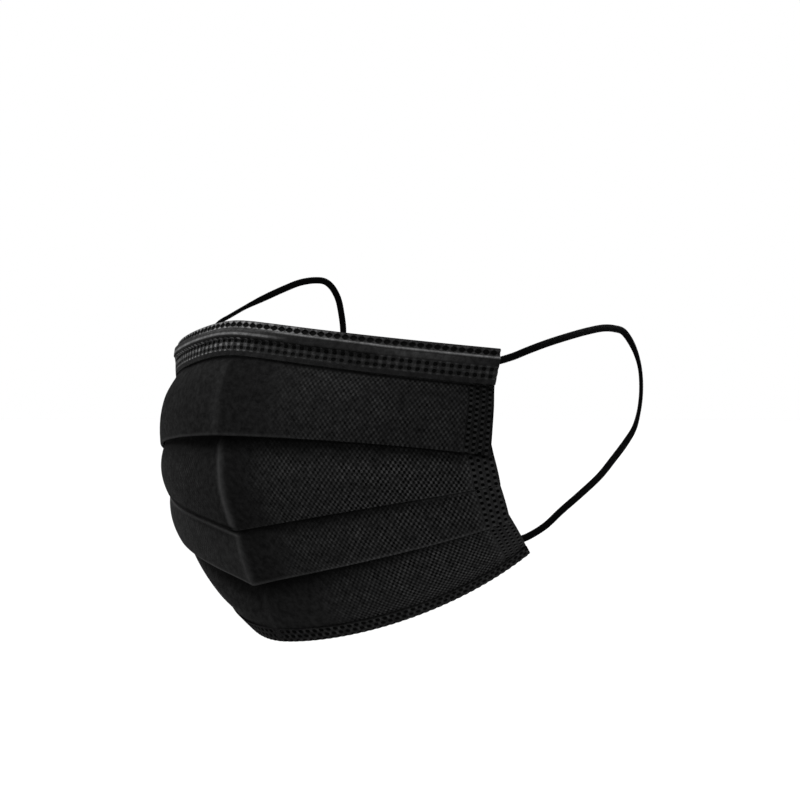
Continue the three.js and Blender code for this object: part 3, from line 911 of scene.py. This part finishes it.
WIRE_DROP = 2.9  # from the edge of the cloth down to the middle of the wire
WIRE_HALF_HEIGHT = 1.15
WIRE_HALF_DEPTH = 0.36


def build_wire(material):
    """Flat coated wire with rounded sides, between the cloth and the top hem."""
    t = np.linspace(-WIRE_HALF, WIRE_HALF, 93)
    s = strips_at(t)[0]
    ring = []
    for phi in np.radians(np.arange(0, 360, 30)):
        drop = WIRE_DROP + WIRE_HALF_HEIGHT * np.clip(1.25 * math.cos(phi), -1, 1)
        depth = HEM_REACH - PLY + WIRE_HALF_DEPTH * math.sin(phi)
        ring.append(s.at(drop / s.length, depth))
    points = np.stack(ring, axis=1)
    # Its rings run round the other way than those of a loop.
    faces = [(face[0], *face[:0:-1]) for face in rod_faces(*points.shape[:2])]
    piece = make_object("coated_wire", points.reshape(-1, 3), faces, None, material)
    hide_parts("nose_wire")


elastic = elastic_material()
build_loop("right_elastic", "ear_loop_right", LOOP_RIGHT_ROUTE, LOOP_RIGHT_FACING, elastic)
build_loop("left_elastic", "ear_loop_left", LOOP_LEFT_ROUTE, LOOP_LEFT_FACING, elastic)
build_panel(cloth_material("mask_cloth", 0.28, 0.02, side_rows, bonded=True))
build_top_hem(cloth_material("top_hem_cloth", 0.26, 0.08, top_hem_rows))
build_bottom_hem(cloth_material("bottom_hem_cloth", 0.22, 0.03, bottom_hem_rows))
build_wire(wire_material())

# ------------------------------------------------------------------ floor and light

FLOOR_HEIGHT = -0.2  # in metres, from the nose bridge
FLOOR_REACH = 30.0
AMBIENT = 0.03
# Name, degrees round from the mask's front, degrees up, degrees across, and strength.
SUNS = [
    ("key", -30, 58, 20, 2.3),
    ("left", -95, 40, 25, 0.7),
    ("front", 55, 25, 30, 0.9),
    ("behind", 180, 30, 25, 1.6),
]


def make_floor():
    """Paler to look at than as light."""
    mesh = bpy.data.meshes.new("floor")
    corners = [(-1, -1), (1, -1), (1, 1), (-1, 1)]
    mesh.from_pydata([(x * FLOOR_REACH, y * FLOOR_REACH, FLOOR_HEIGHT) for x, y in corners], [],
                     [(0, 1, 2, 3)])
    floor = bpy.data.objects.new("floor", mesh)
    bpy.context.collection.objects.link(floor)
    n = Nodes("pale_floor")
    seen = n.add("ShaderNodeLightPath").outputs["Is Camera Ray"]
    n.set(Base_Color=n.mix(seen, (0.55, 0.55, 0.55), (0.9, 0.9, 0.9)), Roughness=1.0)
    n.set(Specular_IOR_Level=0.0)
    mesh.materials.append(n.material)


def make_sun(name, azimuth, elevation, softness, strength):
    a, e = math.radians(azimuth), math.radians(elevation)
    back = Vector((math.sin(a) * math.cos(e), -math.cos(a) * math.cos(e), math.sin(e)))
    data = bpy.data.lights.new(name, "SUN")
    data.angle = math.radians(softness)
    data.energy = strength
    light = bpy.data.objects.new(name, data)
    light.rotation_euler = back.to_track_quat("Z", "Y").to_euler()
    bpy.context.collection.objects.link(light)


def make_world():
    """White to look at, and a dimmer white as light."""
    world = bpy.data.worlds.new("studio")
    world.use_nodes = True
    nodes, links = world.node_tree.nodes, world.node_tree.links
    light = nodes["Background"]
    light.inputs["Color"].default_value = (1, 1, 1, 1)
    light.inputs["Strength"].default_value = AMBIENT
    seen = nodes.new("ShaderNodeBackground")
    seen.inputs["Color"].default_value = (1, 1, 1, 1)
    mix = nodes.new("ShaderNodeMixShader")
    links.new(nodes.new("ShaderNodeLightPath").outputs["Is Camera Ray"], mix.inputs[0])
    links.new(light.outputs[0], mix.inputs[1])
    links.new(seen.outputs[0], mix.inputs[2])
    links.new(mix.outputs[0], nodes["World Output"].inputs["Surface"])
    bpy.context.scene.world = world


make_floor()
for sun in SUNS:
    make_sun(*sun)
make_world()
bpy.context.scene.view_settings.view_transform = "Standard"
